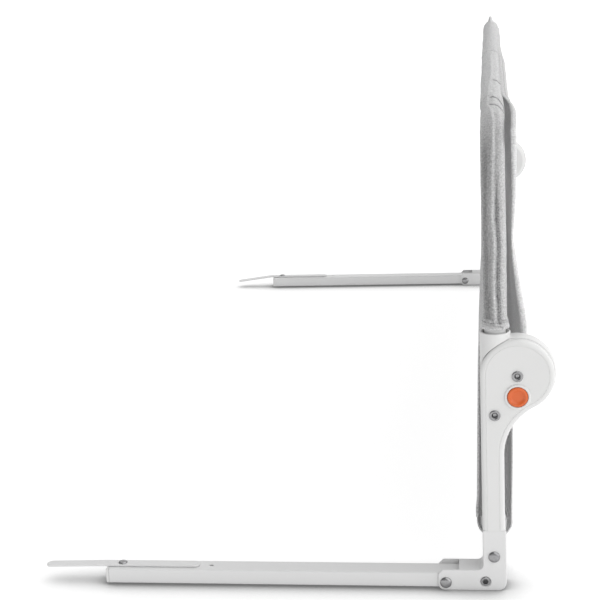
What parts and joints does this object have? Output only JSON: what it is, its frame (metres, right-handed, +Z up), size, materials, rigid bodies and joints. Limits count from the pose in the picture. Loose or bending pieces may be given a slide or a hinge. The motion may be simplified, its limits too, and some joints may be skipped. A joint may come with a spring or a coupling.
{
  "type": "folding bed guard rail",
  "caption": "Fold-down guard rail for a bed: a fabric-covered tube frame hinged on end posts with release buttons, and folding arms that lie under the mattress.",
  "frame": {"origin": "middle of the box round the whole rail, on the floor plane under the corner brackets", "axes": "+X along the rail, +Y towards the bed, +Z up"},
  "size_m": [1.2054, 0.509, 0.4552],
  "materials": {
    "white_steel": "satin powder coat",
    "white_plastic": "satin moulded",
    "grey_plastic": "satin moulded",
    "orange_plastic": "semi-gloss moulded",
    "plated_steel": "zinc plated",
    "grey_fabric": "heather grey weave"
  },
  "bodies": {
    "base": {"corner_bracket_left": "white_steel", "corner_bracket_right": "white_steel", "post_core_left": "plated_steel", "post_core_right": "plated_steel", "outer_cover_left": "white_plastic", "outer_cover_right": "white_plastic", "inner_cover_left": "white_plastic", "inner_cover_right": "white_plastic", "hinge_rivet_left": "plated_steel", "hinge_rivet_right": "plated_steel", "cover_rivet_left": "plated_steel", "cover_rivet_right": "plated_steel", "leg_rivet_left": "plated_steel", "leg_rivet_right": "plated_steel", "arm_rivet_left": "plated_steel", "arm_rivet_right": "plated_steel", "bracket_screw_left": "plated_steel", "bracket_screw_right": "plated_steel", "bracket_spacer_left": "plated_steel", "bracket_spacer_right": "plated_steel", "button_spring_left": "plated_steel", "button_spring_right": "plated_steel", "cross_socket_left": "grey_plastic", "cross_socket_right": "grey_plastic", "cross_tube": "white_steel", "lower_fabric": "grey_fabric"},
    "upper_rail": {"hinge_drum_left": "white_plastic", "hinge_drum_right": "white_plastic", "upper_tube": "white_steel", "sleeve": "grey_fabric", "inner_panel": "grey_fabric", "outer_panel": "grey_fabric"},
    "button_left": {"release_button_left": "orange_plastic", "lock_bolt_left": "plated_steel"},
    "button_right": {"release_button_right": "orange_plastic", "lock_bolt_right": "plated_steel"},
    "arm_left": {"arm_tube_left": "white_steel", "arm_plug_left": "white_plastic", "tongue_rivet_left": "plated_steel"},
    "arm_right": {"arm_tube_right": "white_steel", "arm_plug_right": "white_plastic", "tongue_rivet_right": "plated_steel"},
    "tongue_left": {"tongue_left": "white_steel"},
    "tongue_right": {"tongue_right": "white_steel"}
  },
  "joints": [
    {"name": "rail_fold", "type": "hinge", "parent": "base", "child": "upper_rail", "pos_m": [0, -0.2185, 0.2175], "axis": [1, 0, 0], "range_deg": [0, 165]},
    {"name": "button_left", "type": "slide", "parent": "base", "child": "button_left", "axis": [1, 0, 0], "range_m": [0, 0.0035], "stiffness_N_per_m": 900, "springref_m": -0.006, "deforming": ["button_spring_left"]},
    {"name": "button_right", "type": "slide", "parent": "base", "child": "button_right", "axis": [-1, 0, 0], "range_m": [0, 0.0035], "stiffness_N_per_m": 900, "springref_m": -0.006, "deforming": ["button_spring_right"]},
    {"name": "arm_left", "type": "hinge", "parent": "base", "child": "arm_left", "pos_m": [-0.58675, -0.148, 0.0081], "axis": [1, 0, 0], "range_deg": [0, 90]},
    {"name": "arm_right", "type": "hinge", "parent": "base", "child": "arm_right", "pos_m": [0.58675, -0.148, 0.0081], "axis": [1, 0, 0], "range_deg": [0, 90]},
    {"name": "tongue_left", "type": "hinge", "parent": "arm_left", "child": "tongue_left", "pos_m": [-0.58675, 0.1755, 0.0185], "axis": [0, 0, 1], "range_deg": [-90, 90]},
    {"name": "tongue_right", "type": "hinge", "parent": "arm_right", "child": "tongue_right", "pos_m": [0.58675, 0.1755, 0.0185], "axis": [0, 0, 1], "range_deg": [-90, 90]}
  ]
}
